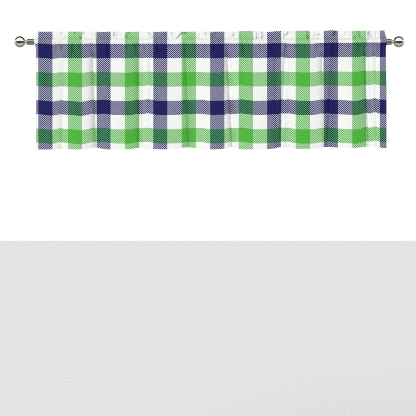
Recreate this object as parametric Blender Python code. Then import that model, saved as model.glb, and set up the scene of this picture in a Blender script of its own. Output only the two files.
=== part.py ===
"""A window valance on its curtain rod, in metres.

The valance is one length of cloth. Its top is turned over to the back and sewn
twice, which makes a standing heading above a rod pocket. The rod is a steel tube
that ends in two turned ball finials. X runs along the rod, Z is up, the room is on
the -Y side, and the origin is on the rod's axis, midway between the finials.
"""

import math

import bmesh
import bpy

# Rod and finials
ROD_RADIUS = 0.0095
ROD_WALL = 0.0008
ROD_HALF_LENGTH = 0.7030
CLEARANCE = 0.0003
COLLAR_RADIUS = 0.0118
COLLAR_START = 0.6835
COLLAR_END = 0.7090
COLLAR_CHAMFER = 0.0006
GROOVE_AT = 0.7012
GROOVE_HALF_WIDTH = 0.0016
GROOVE_DEPTH = 0.0012
NECK_RADIUS = 0.0066
NECK_START = 0.7108
BALL_RADIUS = 0.0218
BALL_CENTRE = 0.7375
BALL_ARC_STEPS = 12
ROUND_STEPS = 32

# Cloth, seen from the room
CLOTH_LEFT = -0.6740
CLOTH_RIGHT = 0.6900
HEADING_TOP = 0.0400
HEM_LEVEL = -0.4195
CLOTH_THICKNESS = 0.0016
SEWN_THICKNESS = 0.0028
HEM_THICKNESS = 0.0024
HEM_HEIGHT = 0.0120

# Pocket round the rod. An angle of 0 is over the rod and 180 is under it. The flat
# stretch between two angles comes nearest to the rod at its middle.
POCKET_ANGLES = (30, 60, 90, 120, 150)
HALF_STRETCH = math.radians(15)
POCKET_NEAREST = (ROD_RADIUS + CLEARANCE) / math.cos(HALF_STRETCH)
POCKET_SLACK = 0.0030
SLACK_GROWTH = 2.5
GATHER_FOCUS = 4
POCKET_TOP = 0.0103
POCKET_BOTTOM = 0.0138
UPPER_SEAM = 0.0140
LOWER_SEAM = -0.0175
TURNING_END = -0.0260

# The pocket's right end is pushed over the collar, and both ends stick out a little
EDGE_CLEARANCE = 0.0021
COLLAR_FLARE = (COLLAR_RADIUS + EDGE_CLEARANCE) / math.cos(HALF_STRETCH) - POCKET_NEAREST
FLARE_FROM = 0.6450
FLARE_TO = 0.6740
END_REACH = 0.0300
LEFT_POCKET_REACH = 0.0070
RIGHT_POCKET_REACH = 0.0040
RIGHT_HEADING_REACH = -0.0040
POCKET_REACH_HEIGHT = 0.0160

# Panel levels between the hem and the pocket
PANEL_LEVELS = (-0.3000, -0.1900, -0.1000, -0.0450)
COLUMN_SPACING = 0.0165
CLOSEST_COLUMNS = 0.0060
CLOSEST_FILLERS = 0.0099
COLUMNS_IN_FOLD = (-1.3, -0.65, 0.0, 0.65, 1.3)

# Each fold runs down from the pocket as a trough that goes away from the room.
# A skew over 0 makes its left side longer and its right side steeper by that share.
# The hem rises a little at a fold, by the last column.
FOLD_COLUMNS = ("x_top", "x_hem", "width_top", "width_hem", "depth_top", "depth_hem", "skew", "hem_lift")
FOLDS = (
    (-0.562, -0.566, 0.020, 0.024, 0.0010, 0.0065, 0.10, 0.0025),
    (-0.464, -0.449, 0.013, 0.023, 0.0090, 0.0175, 0.38, 0.0065),
    (-0.285, -0.279, 0.014, 0.024, 0.0090, 0.0145, 0.30, 0.0050),
    (-0.231, -0.238, 0.011, 0.020, 0.0050, 0.0030, 0.00, 0.0020),
    (-0.100, -0.086, 0.017, 0.029, 0.0080, 0.0175, -0.38, 0.0070),
    (0.062, 0.082, 0.011, 0.026, 0.0100, 0.0180, -0.34, 0.0075),
    (0.123, 0.128, 0.015, 0.020, 0.0040, 0.0010, 0.00, 0.0000),
    (0.248, 0.261, 0.014, 0.022, 0.0060, 0.0070, 0.15, 0.0030),
    (0.290, 0.281, 0.011, 0.024, 0.0080, 0.0115, 0.20, 0.0045),
    (0.431, 0.436, 0.018, 0.022, 0.0060, 0.0085, 0.00, 0.0045),
    (0.476, 0.464, 0.011, 0.024, 0.0090, 0.0120, 0.25, 0.0030),
    (0.596, 0.606, 0.017, 0.027, 0.0090, 0.0130, 0.25, 0.0050),
    (0.640, 0.645, 0.013, 0.022, 0.0060, 0.0065, -0.20, 0.0040),
)

# Between the folds the cloth swells towards the room
SWELL_COLUMNS = ("x", "width", "height")
SWELLS = (
    (-0.625, 0.040, 0.0060),
    (-0.510, 0.048, 0.0090),
    (-0.366, 0.066, 0.0115),
    (-0.182, 0.066, 0.0110),
    (-0.010, 0.060, 0.0105),
    (0.172, 0.066, 0.0125),
    (0.360, 0.056, 0.0110),
    (0.533, 0.046, 0.0105),
    (0.668, 0.022, 0.0045),
)
SWELL_AT_SEAM = 0.25
FOLD_AT_SEAM = 0.35
FOLD_GROWS_OVER = 0.12
LIFT_WIDTH_SHARE = 1.5

# Heading and panel sit a little higher towards the right end
RIGHT_RISE = 0.0042
RISE_FROM = 0.0500
RISE_TO = 0.6000
RISE_GROWS_OVER = 0.25

# Gathers along the heading and the pocket: two waves that never fall in step
PUCKERS = ((0.0610, 0.4, 0.0011), (0.0970, 2.1, 0.0008))
BACK_PUCKER_SHIFT = 0.0210
HEADING_SWAY = ((0.0710, 1.2, 0.0016), (0.1130, 0.3, 0.0012))

CLOTH_COLOUR = (0.90, 0.92, 0.92, 1.0)
NICKEL_COLOUR = (0.62, 0.59, 0.56, 1.0)


def clear_scene():
    for found in list(bpy.data.objects):
        bpy.data.objects.remove(found)


def make_material(name, colour, roughness, metallic):
    material = bpy.data.materials.new(name)
    material.use_nodes = True
    shader = material.node_tree.nodes["Principled BSDF"]
    shader.inputs["Base Color"].default_value = colour
    shader.inputs["Roughness"].default_value = roughness
    shader.inputs["Metallic"].default_value = metallic
    return material


def add_object(name, mesh_data, material, sharp_angle=40):
    """Turns a bmesh with closed faces into a named object."""
    bmesh.ops.recalc_face_normals(mesh_data, faces=mesh_data.faces)
    mesh = bpy.data.meshes.new(name)
    mesh_data.to_mesh(mesh)
    mesh_data.free()
    mesh.materials.append(material)
    mesh.shade_smooth()
    mesh.set_sharp_from_angle(angle=math.radians(sharp_angle))
    made = bpy.data.objects.new(name, mesh)
    bpy.context.scene.collection.objects.link(made)
    return made


def mix(low, high, share):
    return low + (high - low) * share


def smooth_share(value, start, end):
    """0 before start, 1 after end, with soft ends between them."""
    share = min(max((value - start) / (end - start), 0.0), 1.0)
    return share * share * (3 - 2 * share)


def bell(distance, width):
    return math.exp(-((distance / width) ** 2))


def waves(x, table):
    """The sum of the sine waves in a table of wavelength, phase and height."""
    return sum(high * math.sin(2 * math.pi * x / length + phase) for length, phase, high in table)


def named_rows(columns, table):
    return [dict(zip(columns, row)) for row in table]


FOLD_ROWS = named_rows(FOLD_COLUMNS, FOLDS)
SWELL_ROWS = named_rows(SWELL_COLUMNS, SWELLS)


def fall_share(level):
    """How far down the panel a level is: 0 at the pocket's seam and 1 at the hem."""
    return min(max((LOWER_SEAM - level) / (LOWER_SEAM - HEM_LEVEL), 0.0), 1.0)


def trough(x, share, fold):
    """A fold's depth at a column, with one side longer than the other by its skew."""
    distance = x - fold["x_top"]
    width = mix(fold["width_top"], fold["width_hem"], share)
    depth = mix(fold["depth_top"], fold["depth_hem"], share)
    longer = fold["skew"] if distance < 0 else -fold["skew"]
    return depth * bell(distance, width * (1 + longer))


def fold_offset(x, share):
    """How far the hanging cloth is pushed along Y at a column, by its folds and swells."""
    growth = mix(FOLD_AT_SEAM, 1.0, smooth_share(share, 0.0, FOLD_GROWS_OVER))
    offset = growth * sum(trough(x, share, fold) for fold in FOLD_ROWS)
    for swell in SWELL_ROWS:
        offset -= swell["height"] * mix(SWELL_AT_SEAM, 1.0, share) * bell(x - swell["x"], swell["width"])
    return offset


def fold_drift(x, share):
    """How far a column has leaned sideways, so that it follows the folds beside it."""
    stops = [(CLOTH_LEFT, 0.0)]
    stops += [(fold["x_top"], fold["x_hem"] - fold["x_top"]) for fold in FOLD_ROWS]
    stops += [(CLOTH_RIGHT, 0.0)]
    for (start, first), (end, second) in zip(stops, stops[1:]):
        if x <= end:
            return share * mix(first, second, (x - start) / (end - start))
    return 0.0


def hem_lift(x, share):
    """How far the cloth is drawn up at a fold. It grows towards the hem."""
    lift = 0.0
    for fold in FOLD_ROWS:
        lift += fold["hem_lift"] * bell(x - fold["x_top"], LIFT_WIDTH_SHARE * fold["width_hem"])
    return lift * share * share


def right_rise(x):
    return RIGHT_RISE * smooth_share(x, RISE_FROM, RISE_TO)


def end_reach(x, level):
    """How far the cloth's two side edges stand out past their straight line."""
    near_left = 1 - smooth_share(x, CLOTH_LEFT, CLOTH_LEFT + END_REACH)
    near_right = smooth_share(x, CLOTH_RIGHT - END_REACH, CLOTH_RIGHT)
    at_pocket = bell(level, POCKET_REACH_HEIGHT)
    at_heading = smooth_share(level, UPPER_SEAM, HEADING_TOP)
    right = RIGHT_POCKET_REACH * at_pocket + RIGHT_HEADING_REACH * at_heading
    return near_right * right - near_left * LEFT_POCKET_REACH * at_pocket


def surface_slope(x, share):
    step = 0.0005
    return (fold_offset(x + step, share) - fold_offset(x - step, share)) / (2 * step)


def panel_pair(x, level, thickness):
    """The front and back points of the hanging panel at one column and level."""
    share = fall_share(level)
    middle = fold_offset(x, share)
    half = thickness / 2 * math.hypot(1.0, surface_slope(x, share))
    across = x + fold_drift(x, share) + end_reach(x, level)
    height = level + hem_lift(x, share) + right_rise(x) * smooth_share(share, 0.0, RISE_GROWS_OVER)
    return (across, middle - half, height), (across, middle + half, height)


def collar_flare(x):
    """How much wider the pocket is at a column, to pass over the right collar."""
    return COLLAR_FLARE * smooth_share(x, FLARE_FROM, FLARE_TO)


def pocket_radius(x, angle, shift):
    """The pocket's inner radius at an angle from the top of the rod."""
    gather = waves(x + shift, PUCKERS) + sum(height for _, _, height in PUCKERS)
    slack = POCKET_SLACK * (angle / 180) ** SLACK_GROWTH
    gathered = gather * math.sin(math.radians(angle)) ** GATHER_FOCUS
    return POCKET_NEAREST + slack + gathered + collar_flare(x)


def pocket_point(x, angle, side, extra):
    """A point of the pocket's wall. Side is -1 in front of the rod and 1 behind it."""
    turn = math.radians(angle)
    radius = pocket_radius(x, angle, BACK_PUCKER_SHIFT if side > 0 else 0.0) + extra
    level = radius * math.cos(turn)
    return (x + end_reach(x, level), side * radius * math.sin(turn), level)


def pocket_tip(x, level, offset):
    """The pocket's inner edge at a seam."""
    return (x + end_reach(x, level), offset, level + math.copysign(collar_flare(x), level))


def heading_pair(x, level):
    """The front and back points of the heading, which sways more at its free top edge."""
    rise = smooth_share(level, UPPER_SEAM, HEADING_TOP)
    sway = waves(x, HEADING_SWAY) * rise
    height = level + mix(collar_flare(x), right_rise(x), rise)
    across = x + end_reach(x, level)
    half = SEWN_THICKNESS / 2
    return (across, sway - half, height), (across, sway + half, height)


def column_loops(x):
    """One column of the cloth: its outside in pairs from hem to heading, and the pocket's inside."""
    flare = collar_flare(x)
    pairs = [panel_pair(x, HEM_LEVEL, HEM_THICKNESS)]
    pairs.append(panel_pair(x, HEM_LEVEL + HEM_HEIGHT, HEM_THICKNESS))
    pairs += [panel_pair(x, level, CLOTH_THICKNESS) for level in PANEL_LEVELS]
    pairs.append(panel_pair(x, TURNING_END - flare, CLOTH_THICKNESS))
    pairs.append(panel_pair(x, LOWER_SEAM - flare, SEWN_THICKNESS))
    for angle in reversed(POCKET_ANGLES):
        pairs.append(tuple(pocket_point(x, angle, side, CLOTH_THICKNESS) for side in (-1, 1)))
    pairs.append(heading_pair(x, UPPER_SEAM))
    pairs.append(heading_pair(x, HEADING_TOP))
    low_tip = pocket_tip(x, -POCKET_BOTTOM, fold_offset(x, 0.0))
    high_tip = pocket_tip(x, POCKET_TOP, 0.0)
    front = [pocket_point(x, angle, -1, 0.0) for angle in reversed(POCKET_ANGLES)]
    back = [pocket_point(x, angle, 1, 0.0) for angle in reversed(POCKET_ANGLES)]
    return pairs, low_tip, front, back, high_tip


def column_positions():
    """Columns at an even spacing, closer together in the folds, where the cloth turns most."""
    places = [CLOTH_LEFT, CLOTH_RIGHT]
    for fold in FOLD_ROWS:
        for step in COLUMNS_IN_FOLD:
            places.append(fold["x_top"] + step * (fold["width_top"] + fold["width_hem"]) / 2)
    kept = []
    for place in places:
        inside = CLOTH_LEFT <= place <= CLOTH_RIGHT
        if inside and all(abs(place - other) > CLOSEST_COLUMNS for other in kept):
            kept.append(place)
    count = round((CLOTH_RIGHT - CLOTH_LEFT) / COLUMN_SPACING)
    for step in range(1, count):
        place = mix(CLOTH_LEFT, CLOTH_RIGHT, step / count)
        if all(abs(place - other) > CLOSEST_FILLERS for other in kept):
            kept.append(place)
    return sorted(kept)


def close_end(mesh_data, pairs, low_tip, front, back, high_tip):
    """Closes one side edge of the cloth, from the hem to the top of the heading."""
    seam = len(PANEL_LEVELS) + 3
    heading = seam + len(POCKET_ANGLES) + 1
    for low, high in zip(pairs[:seam], pairs[1 : seam + 1]):
        mesh_data.faces.new((low[0], high[0], high[1], low[1]))
    for side, wall in ((0, front), (1, back)):
        inner = [low_tip, *wall, high_tip]
        outer = [pair[side] for pair in pairs[seam : heading + 1]]
        for step in range(len(inner) - 1):
            mesh_data.faces.new((outer[step], outer[step + 1], inner[step + 1], inner[step]))
    mesh_data.faces.new((pairs[seam][0], low_tip, pairs[seam][1]))
    mesh_data.faces.new((pairs[heading][0], pairs[heading][1], high_tip))
    mesh_data.faces.new((pairs[heading][0], pairs[heading + 1][0], pairs[heading + 1][1], pairs[heading][1]))


def build_valance(material):
    mesh_data = bmesh.new()
    columns = []
    for x in column_positions():
        pairs, low_tip, front, back, high_tip = column_loops(x)
        pairs = [tuple(mesh_data.verts.new(point) for point in pair) for pair in pairs]
        tips = [mesh_data.verts.new(point) for point in (low_tip, high_tip)]
        front = [mesh_data.verts.new(point) for point in front]
        back = [mesh_data.verts.new(point) for point in back]
        columns.append((pairs, tips[0], front, back, tips[1]))
    loops = []
    for pairs, low_tip, front, back, high_tip in columns:
        outside = [pair[0] for pair in pairs] + [pair[1] for pair in reversed(pairs)]
        inside = [low_tip, *front, high_tip, *reversed(back)]
        loops.append((outside, inside))
    for before, after in zip(loops, loops[1:]):
        for ring, next_ring in zip(before, after):
            for step in range(len(ring)):
                last = step - 1
                mesh_data.faces.new((ring[last], ring[step], next_ring[step], next_ring[last]))
    close_end(mesh_data, *columns[0])
    close_end(mesh_data, *columns[-1])
    return add_object("valance", mesh_data, material)


def turned(name, outline, material):
    """A solid turned about the rod's axis from an outline of along-axis and radius pairs."""
    mesh_data = bmesh.new()
    points = [mesh_data.verts.new((along, 0.0, radius)) for along, radius in outline]
    edges = [mesh_data.edges.new(pair) for pair in zip(points, points[1:])]
    bmesh.ops.spin(
        mesh_data,
        geom=points + edges,
        cent=(0, 0, 0),
        axis=(1, 0, 0),
        angle=2 * math.pi,
        steps=ROUND_STEPS,
        use_merge=True,
    )
    bmesh.ops.remove_doubles(mesh_data, verts=mesh_data.verts, dist=1e-6)
    return add_object(name, mesh_data, material)


def build_rod(material):
    inner = ROD_RADIUS - ROD_WALL
    outline = [
        (-ROD_HALF_LENGTH, inner),
        (-ROD_HALF_LENGTH, ROD_RADIUS),
        (ROD_HALF_LENGTH, ROD_RADIUS),
        (ROD_HALF_LENGTH, inner),
        (-ROD_HALF_LENGTH, inner),
    ]
    return turned("rod_tube", outline, material)


def finial_outline():
    """A finial from the bottom of its bore, round the collar and neck, to the ball's pole."""
    bore = ROD_RADIUS + CLEARANCE
    bottom = ROD_HALF_LENGTH + CLEARANCE
    groove_start = GROOVE_AT - GROOVE_HALF_WIDTH
    groove_end = GROOVE_AT + GROOVE_HALF_WIDTH
    outline = [
        (bottom, 0.0),
        (bottom, bore),
        (COLLAR_START, bore),
        (COLLAR_START, COLLAR_RADIUS - COLLAR_CHAMFER),
        (COLLAR_START + COLLAR_CHAMFER, COLLAR_RADIUS),
        (groove_start, COLLAR_RADIUS),
        (GROOVE_AT - GROOVE_HALF_WIDTH / 2, COLLAR_RADIUS - GROOVE_DEPTH),
        (GROOVE_AT + GROOVE_HALF_WIDTH / 2, COLLAR_RADIUS - GROOVE_DEPTH),
        (groove_end, COLLAR_RADIUS),
        (COLLAR_END - COLLAR_CHAMFER, COLLAR_RADIUS),
        (COLLAR_END, COLLAR_RADIUS - COLLAR_CHAMFER),
        (NECK_START, NECK_RADIUS),
    ]
    first = math.asin(NECK_RADIUS / BALL_RADIUS)
    for step in range(BALL_ARC_STEPS):
        turn = mix(first, math.pi, step / BALL_ARC_STEPS)
        outline.append((BALL_CENTRE - BALL_RADIUS * math.cos(turn), BALL_RADIUS * math.sin(turn)))
    outline.append((BALL_CENTRE + BALL_RADIUS, 0.0))
    return outline


def build_finials(material):
    right = finial_outline()
    turned("finial_right", right, material)
    turned("finial_left", [(-along, radius) for along, radius in right], material)


def main():
    clear_scene()
    cloth = make_material("printed_cloth", CLOTH_COLOUR, roughness=0.85, metallic=0.0)
    nickel = make_material("polished_nickel", NICKEL_COLOUR, roughness=0.18, metallic=1.0)
    build_valance(cloth)
    build_rod(nickel)
    build_finials(nickel)


main()
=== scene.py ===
"""The looks of a window valance on its curtain rod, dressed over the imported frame.

The file is laid out as an add-on and run as a script. Each operator makes one
piece, a group of like pieces, or the stage. Sizes are in metres, but the tables of
swells, creases, edges, lifts and stops are in millimetres. X runs along the rod, Z is
up, the room is on the -Y side, and the origin is on the rod's axis, midway between
the finials.
"""

import math

import bmesh
import bpy
import numpy as np
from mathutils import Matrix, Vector


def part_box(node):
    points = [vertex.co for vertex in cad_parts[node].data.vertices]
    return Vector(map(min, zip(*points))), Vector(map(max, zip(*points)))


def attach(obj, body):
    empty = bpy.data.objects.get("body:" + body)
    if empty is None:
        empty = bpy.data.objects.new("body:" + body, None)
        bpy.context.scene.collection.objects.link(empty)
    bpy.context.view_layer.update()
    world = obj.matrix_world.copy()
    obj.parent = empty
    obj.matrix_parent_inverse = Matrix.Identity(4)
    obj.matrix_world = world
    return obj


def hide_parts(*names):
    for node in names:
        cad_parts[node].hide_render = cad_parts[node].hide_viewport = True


bl_info = {
    "name": "Window valance dresser",
    "version": (1, 0, 0),
    "blender": (4, 5, 0),
    "location": "3D View > Sidebar > Valance",
    "description": "Makes the cloth, stitching, finials and stage of a rod pocket valance",
    "category": "Object",
}

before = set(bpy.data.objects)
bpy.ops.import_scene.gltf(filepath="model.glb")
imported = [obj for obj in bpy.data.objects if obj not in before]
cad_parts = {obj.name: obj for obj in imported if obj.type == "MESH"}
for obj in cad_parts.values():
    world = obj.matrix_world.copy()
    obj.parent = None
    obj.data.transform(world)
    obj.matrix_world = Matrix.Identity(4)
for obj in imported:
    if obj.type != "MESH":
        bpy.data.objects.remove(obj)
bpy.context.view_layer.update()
VALANCE_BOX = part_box("valance")
ROD_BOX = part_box("rod_tube")
RIGHT_FINIAL_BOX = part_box("finial_right")
MILLIMETRE = 0.001

# Rod and finials
ROD_RADIUS = ROD_BOX[1].z
CLEARANCE = 0.0003
COLLAR_RADIUS = 0.0118
COLLAR_START = RIGHT_FINIAL_BOX[0].x
COLLAR_END = 0.7090
GROOVE_AT = 0.7012
GROOVE_HALF_WIDTH = 0.0016
GROOVE_DEPTH = 0.0012
NECK_RADIUS = 0.0066
NECK_START = 0.7108
FOOT_FLARE = 0.0012
BALL_START_SHARE = 1.08
BALL_CENTRE = 0.7375
BALL_RADIUS = RIGHT_FINIAL_BOX[1].x - BALL_CENTRE
EDGE_ROUND = 0.0007
ROUND_EDGE_STEPS = 4
GROOVE_STEPS = 8
NECK_STEPS = 8

# Cloth, seen from the room
CLOTH_LEFT = -0.6740
CLOTH_RIGHT = 0.6900
HEADING_TOP = 0.0400
HEM_LEVEL = VALANCE_BOX[0].z
SOLID_THICKNESS = 0.0016
HEADING_HALF = 0.0012
HEM_HALF = 0.00095
SEAM_HALF = 0.0006
PANEL_HALF = SOLID_THICKNESS / 2
HEM_SEAM = 0.0090
HEM_HEIGHT = 0.0116
SIDE_HEM = 0.0085
SIDE_HEM_THICKNESS = 0.0011
SIDE_HEM_STEP = 0.0016
PINCH_REACH = 0.0035
UNDER_SEAM_LEVEL = 0.0126
UNDER_SEAM_HALF = 0.0014
TURNING_HALF = 0.0009
SEAM_END_COLUMNS = 2
EDGE_FOLD_STEPS = 6
HEADING_STEPS = 11
HEM_BACK_RISES = (HEM_HEIGHT, 0.0102, HEM_SEAM, 0.0072, 0.0045, 0.0018)
HEM_FRONT_RISES = (0.0016, 0.0045, 0.0070, HEM_SEAM, 0.0110, 0.0135, 0.0180)
POCKET_FALL_SHARES = (0.86, 0.72, 0.58, 0.44, 0.30, 0.16)
POCKET_FRONT_ANGLES = (85, 70, 56, 43, 31, 21)
POCKET_BACK_ANGLES = (22, 44, 66, 88, 110, 132, 154)
SLOPE_STEP = 0.0005
CLOTH_SHARP_ANGLE = 52
FINIAL_SHARP_ANGLE = 50

# Pocket round the rod. An angle of 0 is over the rod and 180 is under it.
HALF_STRETCH = math.radians(15)
POCKET_NEAREST = (ROD_RADIUS + CLEARANCE) / math.cos(HALF_STRETCH)
POCKET_SLACK = 0.0030
POCKET_EASE = 0.0016
SLACK_GROWTH = 2.5
GATHER_FOCUS = 4
FALL_CURVE = 1.3
UPPER_SEAM = 0.0140
LOWER_SEAM = -0.0175
TURNING_END = -0.0260
SEAM_FORWARD = 0.0050
FORWARD_OVER = 0.30
CREASE_OUT = 0.0015
CREASE_IN = 0.0009
CREASE_IN_BELOW_ROD = 0.0050
COLLAR_FLARE = (COLLAR_RADIUS + 0.0021) / math.cos(HALF_STRETCH) - POCKET_NEAREST
FLARE_FROM = 0.6450
FLARE_TO = 0.6740
END_REACH = 0.0300
LEFT_POCKET_REACH = 0.0070
RIGHT_POCKET_REACH = 0.0040
RIGHT_HEADING_REACH = -0.0045
POCKET_REACH_HEIGHT = 0.0160
RIGHT_SLANT = -0.0036
RIGHT_SLANT_ENDS = -0.2200

# Each fold runs down from the pocket as a trough that goes away from the room.
# A skew over 0 makes its left side longer and its right side steeper by that share.
FOLD_COLUMNS = ("x_top", "x_hem", "width_top", "width_hem", "depth_top", "depth_hem", "skew", "hem_lift")
FOLDS = (
    (-0.572, -0.582, 0.020, 0.024, 0.0010, 0.0105, 0.10, 0.0025),
    (-0.460, -0.449, 0.013, 0.022, 0.0150, 0.0150, 0.38, 0.0065),
    (-0.284, -0.278, 0.014, 0.024, 0.0105, 0.0145, 0.20, 0.0050),
    (-0.231, -0.238, 0.011, 0.020, 0.0050, 0.0030, 0.00, 0.0020),
    (-0.100, -0.084, 0.017, 0.033, 0.0070, 0.0140, -0.45, 0.0070),
    (0.062, 0.086, 0.011, 0.028, 0.0140, 0.0150, -0.45, 0.0075),
    (0.123, 0.128, 0.015, 0.020, 0.0040, 0.0010, 0.00, 0.0000),
    (0.248, 0.258, 0.014, 0.024, 0.0085, 0.0015, 0.15, 0.0020),
    (0.291, 0.272, 0.011, 0.028, 0.0115, 0.0175, 0.00, 0.0055),
    (0.433, 0.440, 0.015, 0.024, 0.0110, 0.0025, 0.20, 0.0030),
    (0.476, 0.456, 0.011, 0.031, 0.0060, 0.0185, 0.00, 0.0050),
    (0.601, 0.618, 0.017, 0.032, 0.0130, 0.0155, -0.10, 0.0055),
    (0.642, 0.648, 0.013, 0.024, 0.0080, 0.0070, -0.20, 0.0035),
)

# Between the folds the cloth swells towards the room
SWELL_COLUMNS = ("x", "width", "height")
SWELLS = (
    (-625, 40, 6),
    (-510, 48, 9),
    (-366, 66, 11.5),
    (-182, 66, 11),
    (-10, 60, 10.5),
    (172, 66, 12.5),
    (360, 56, 11),
    (533, 46, 10.5),
    (668, 22, 4.5),
)
SWELL_AT_SEAM = 0.25
FOLD_AT_SEAM = 0.35
FOLD_GROWS_OVER = 0.12
FOLD_BOTTOM = 0.0060
FOLD_REACH = 0.80
FOLD_CORE_WIDTH = 0.0105
FOLD_CORE_SHARE = 0.64
FOLD_CORE_AT_HEM = 0.42
FOLD_SHIFT = 0.0095
LIFT_WIDTH_SHARE = 1.25
LIFT_STRENGTH = 1.3

# Heading and panel sit a little higher towards the right end
RIGHT_RISE = 0.0042
RISE_FROM = 0.0500
RISE_TO = 0.6000
RISE_GROWS_OVER = 0.25

# Gathers along the heading and the pocket, as wavelength, phase and height
PUCKERS = ((0.0610, 0.4, 0.0011), (0.0970, 2.1, 0.0008))
BACK_PUCKER_SHIFT = 0.0210
HEADING_SWAY = ((0.0710, 1.2, 0.0016), (0.1130, 0.3, 0.0012))
SEAM_RIPPLES = ((0.0131, 0.7, 0.00022), (0.0217, 1.9, 0.00026))
SEAM_RIPPLE_REACH = 0.0070

# Small creases. Each starts at x and top, runs down its length, leans sideways on
# the way, bends to one side in the middle, and is pushed back by its depth.
CREASE_COLUMNS = ("x", "top", "length", "lean", "bend", "width", "depth")
HEADING_CREASES = (
    (-577, 39, 16, 6, 3, 5.7, 8.8),
    (-561, 26, 16, 4, 2, 4.2, 8.8),
    (-523.5, 42, 12, 4, -2, 4.6, 10.9),
    (-503, 28, 26, 4, 1, 4.2, 9.9),
    (-489, 42, 14, -3, 2, 4.2, 10.9),
    (-441, 34, 18, 3, 1, 4.6, 5.4),
    (-370, 42, 24, -6, 5, 4.2, 11.9),
    (-356, 28, 14, -4, 1, 4.2, 7.6),
    (-324, 30, 18, 8, -2, 4.2, 9.9),
    (-309, 41, 10, -10, 2, 4.2, 9.9),
    (-237, 39, 18, 10, 1, 4.2, 13),
    (-219, 24, 14, -4, 1, 4.2, 6.5),
    (-172, 34, 16, 3, 1, 4.2, 5.4),
    (-148, 40, 22, 7, 2, 4.2, 9.9),
    (-97, 41, 30, -30, -3, 4.2, 13.5),
    (-96, 41, 12, 4, 2, 4.2, 11.9),
    (-39, 30, 18, -4, 4, 4.2, 7.6),
    (-19, 42, 18, 6, 4, 4.2, 10.9),
    (29, 40, 10, -6, -2, 4.2, 8.8),
    (12, 30, 18, 2, 1, 4.2, 7.6),
    (96, 40, 22, -11, 6, 4.2, 11.9),
    (122, 30, 16, 3, -1, 4.2, 5.4),
    (185, 43, 44, -4, 4, 4.2, 13.5),
    (205, 43, 40, -4, 5, 4.2, 13.5),
    (209, 16, 18, 3, 1, 4.2, 9.9),
    (176, 22, 14, -5, 1, 4.2, 7.6),
    (308, 44, 22, -12, 5, 4.2, 13.5),
    (295, 32, 40, -1, -2, 4.2, 13.5),
    (380, 44, 44, 3, 2, 4.2, 13.5),
    (411, 34, 20, -4, 4, 4.2, 9.9),
    (433, 36, 22, -7, -4, 4.2, 10.9),
    (422, 14, 16, 2, 1, 4.2, 10.9),
    (493, 44, 24, -12, 2, 4.2, 13.5),
    (511, 28, 10, 1, 1, 4.2, 8.8),
    (532, 42, 22, -6, 5, 5.7, 8.8),
    (572, 28, 18, -5, 1, 4.2, 8.8),
    (585, 44, 30, 3, -3, 4.2, 13),
    (635, 44, 18, -16, -3, 4.2, 13.5),
    (618, 36, 36, 3, 2, 4.2, 13.5),
    (633, 26, 18, -4, -2, 4.2, 11.9),
    (647, 38, 22, 4, 3, 4.2, 9.9),
)
POCKET_CREASES = (
    (-638, 0, 50, 2, 1, 5.3, 5.1),
    (-598, 4, 42, 3, 2, 6.3, 7.1),
    (-574, 2, 46, 2, -1, 5.3, 6.5),
    (-533, 6, 66, -2, 1, 4.4, 6.5),
    (-505, 4, 36, 1, 1, 4.4, 4.6),
    (-440, 2, 40, 2, 1, 5.3, 4.6),
    (-397.5, 6, 72, -1, 1, 4.6, 7),
    (-288.5, 2, 52, 4, 0, 4.8, 6.5),
    (-364, 2, 36, 2, 1, 4.4, 3.9),
    (-321, 3, 40, 1, 1, 4.6, 5.8),
    (-254, 4, 50, 2, 1, 4.8, 5.1),
    (-232, -58, 50, 1, 0, 4.4, 5),
    (-200, 6, 52, 1, -1, 5.3, 7.1),
    (-156, 2, 40, -2, 1, 4.8, 3.9),
    (-95.5, 4, 56, 1, 1, 4.8, 5),
    (-56, 3, 44, 2, 1, 5, 4.6),
    (-18, 4, 50, 1, 1, 4.4, 5.1),
    (17, 6, 46, 2, 1, 5, 7.1),
    (39, 4, 34, 2, 1, 4.4, 5.1),
    (129, 6, 56, 0, 1, 4.6, 7.1),
    (152, 2, 34, 1, 1, 4.4, 4.6),
    (197, 4, 46, 1, 1, 4.6, 4.6),
    (230, 3, 40, 2, 1, 4.6, 4.6),
    (240.5, 4, 50, 1, 1, 4.8, 6.5),
    (298, 12, 78, 1, -1, 4.4, 5.2),
    (336, 4, 44, -2, 1, 5, 5.1),
    (372, 2, 36, 2, 1, 4.4, 3.9),
    (417, 6, 44, 3, 1, 4.8, 6.5),
    (481, 6, 70, -1, 0, 5.2, 7.8),
    (504, 4, 52, -2, 1, 4.6, 5.1),
    (544, 3, 42, 1, 1, 5, 4.6),
    (580, 6, 40, 2, 1, 4.6, 7.1),
    (602, 4, 54, 2, 1, 5.2, 3.2),
    (640, 0, 62, 2, 1, 6, 4.5),
    (656, 4, 50, 1, 1, 5, 5.8),
)
CREASE_LIP = 0.80

# Where the heading's free top edge stands higher or lower than a straight line
TOP_EDGE_COLUMNS = ("x", "width", "lift")
TOP_EDGE = (
    (-414, 18, -1.2),
    (-318, 22, -1),
    (-215, 25, -0.8),
    (104, 14, -1.2),
    (140, 34, 2),
    (228, 20, -2.2),
    (290, 22, 0.8),
    (322, 12, -1.6),
    (367, 24, 1.6),
    (431, 16, -3.8),
    (476, 18, 1.4),
    (540, 18, -2.4),
    (595, 16, -1.6),
)

# Printed check, from the left edge and from the first dark band's top
CHECK_START = -0.6616
CHECK_TOP = -0.0088

# The gathers take up more cloth in some places, so the print's columns are a little
# off an even spacing. A stop gives x and how far to the right the print is there.
PRINT_STOPS = (
    (-666, -4.2),
    (-610, -4),
    (-551, 0.2),
    (-272, 1.2),
    (-165, 0.2),
    (170, 1.2),
    (280, 0.6),
    (392, 1.8),
    (445, 0),
    (611, -0.2),
    (664, -2.6),
)

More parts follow.
